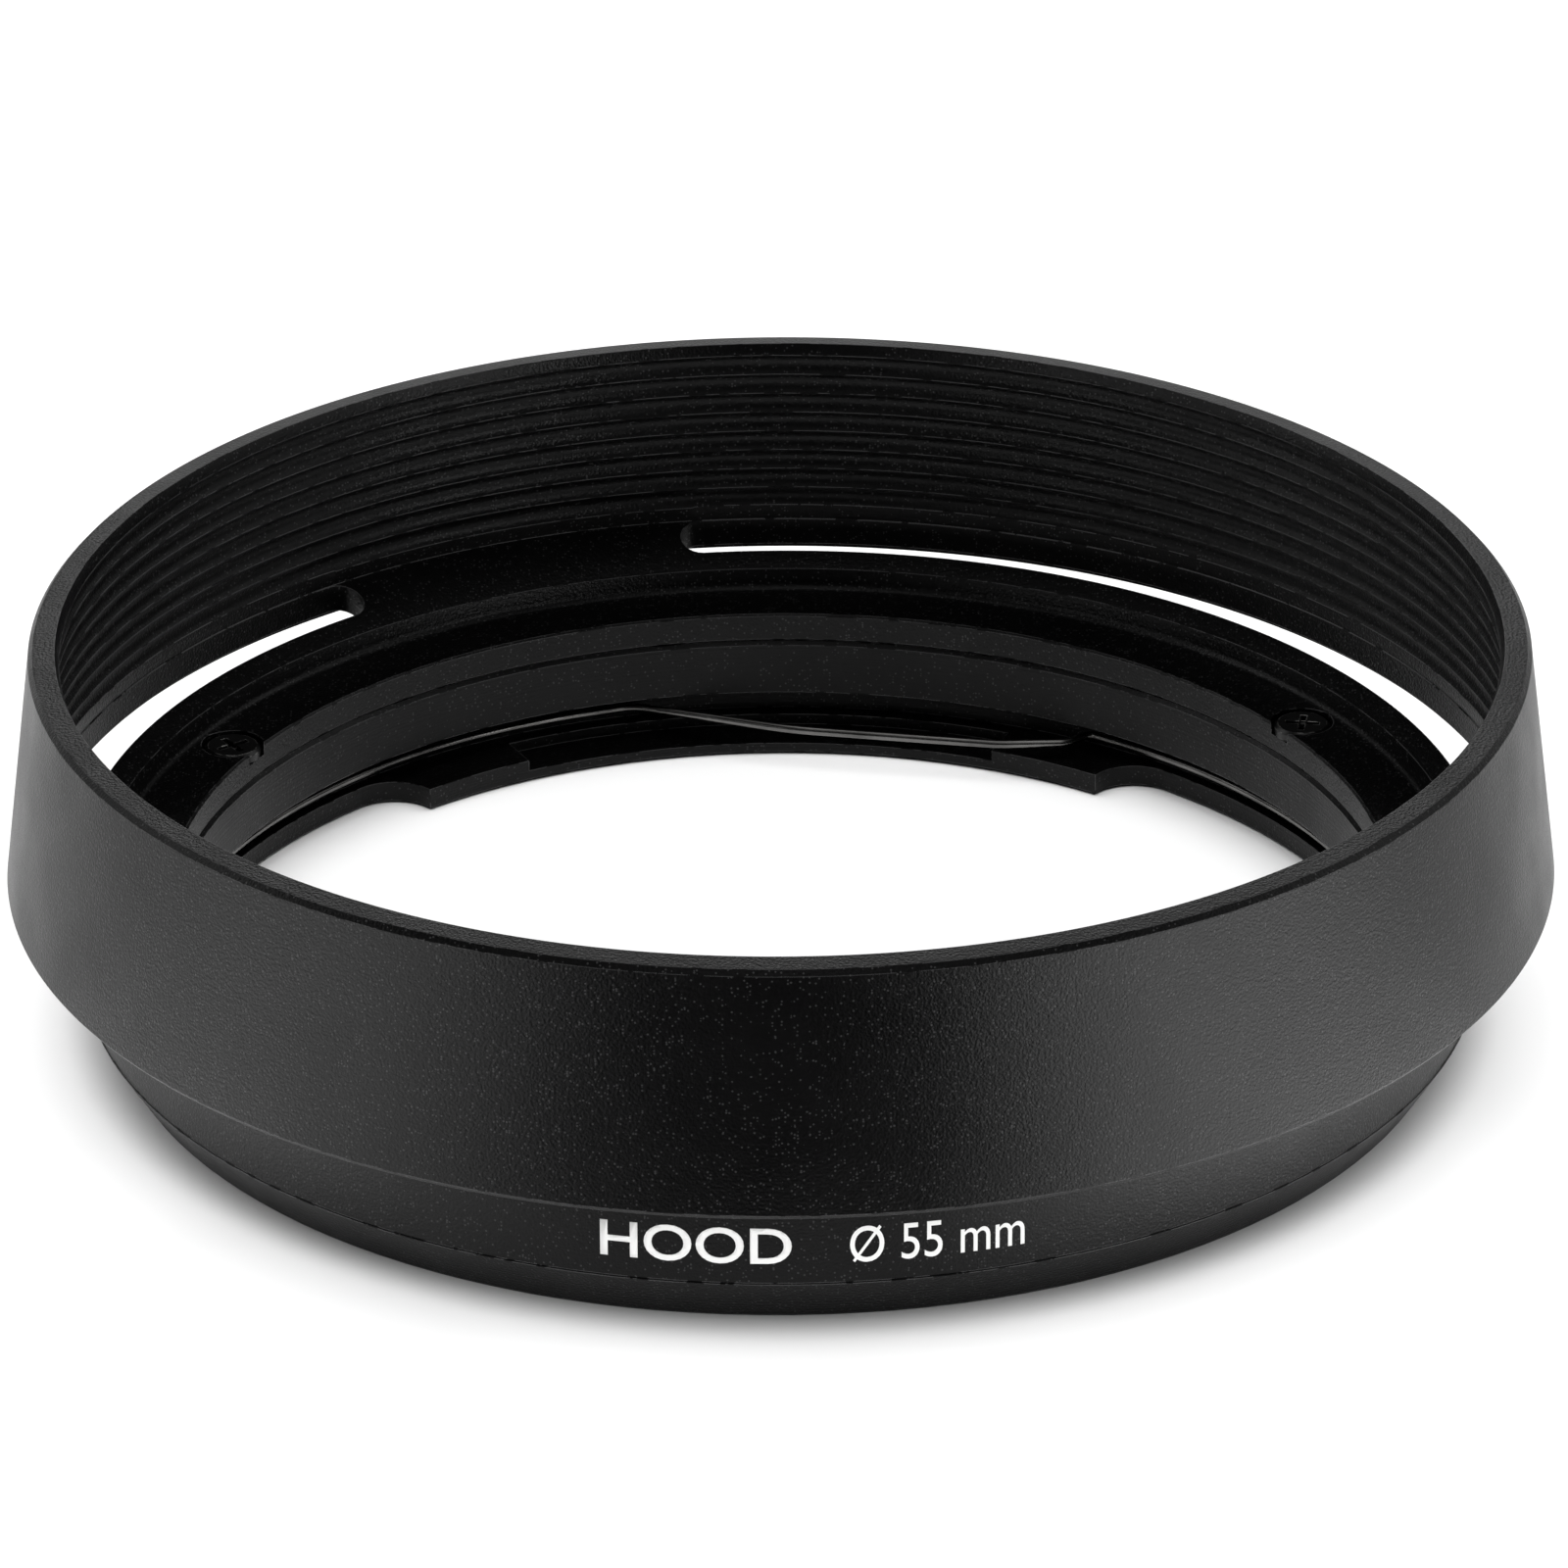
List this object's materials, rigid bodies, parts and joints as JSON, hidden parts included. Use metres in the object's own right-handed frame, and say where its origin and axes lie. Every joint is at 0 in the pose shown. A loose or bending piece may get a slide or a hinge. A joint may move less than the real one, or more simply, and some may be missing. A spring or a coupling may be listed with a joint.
{
  "type": "vented lens hood",
  "caption": "Round vented metal lens hood: ribbed conical shade over a bayonet mount ring with inward lugs and a wire click spring.",
  "frame": {"origin": "centre of the rear face, on the optical axis", "axes": "+Z forwards out of the open mouth, -Y towards the marked side, +X to the right of the marked side"},
  "size_m": [0.07, 0.07, 0.0185],
  "materials": {
    "shade_black": "bead-blasted, satin black anodised",
    "mount_black": "turned, satin black anodised",
    "spring_steel": "drawn, blackened spring wire",
    "screw_black": "black oxide with bright edges on the cross recess"
  },
  "bodies": {
    "hood": {"hood_shell": "shade_black", "mount_ring": "mount_black", "fixing_screws": "screw_black"},
    "click_wire": {"retaining_wire": "spring_steel"}
  },
  "joints": [
    {"name": "bow_flex", "type": "slide", "parent": "hood", "child": "click_wire", "axis": [0.1564, 0.9877, 0], "range_m": [0, 0.002], "stiffness_N_per_m": 1100, "deforming": ["retaining_wire"]}
  ]
}
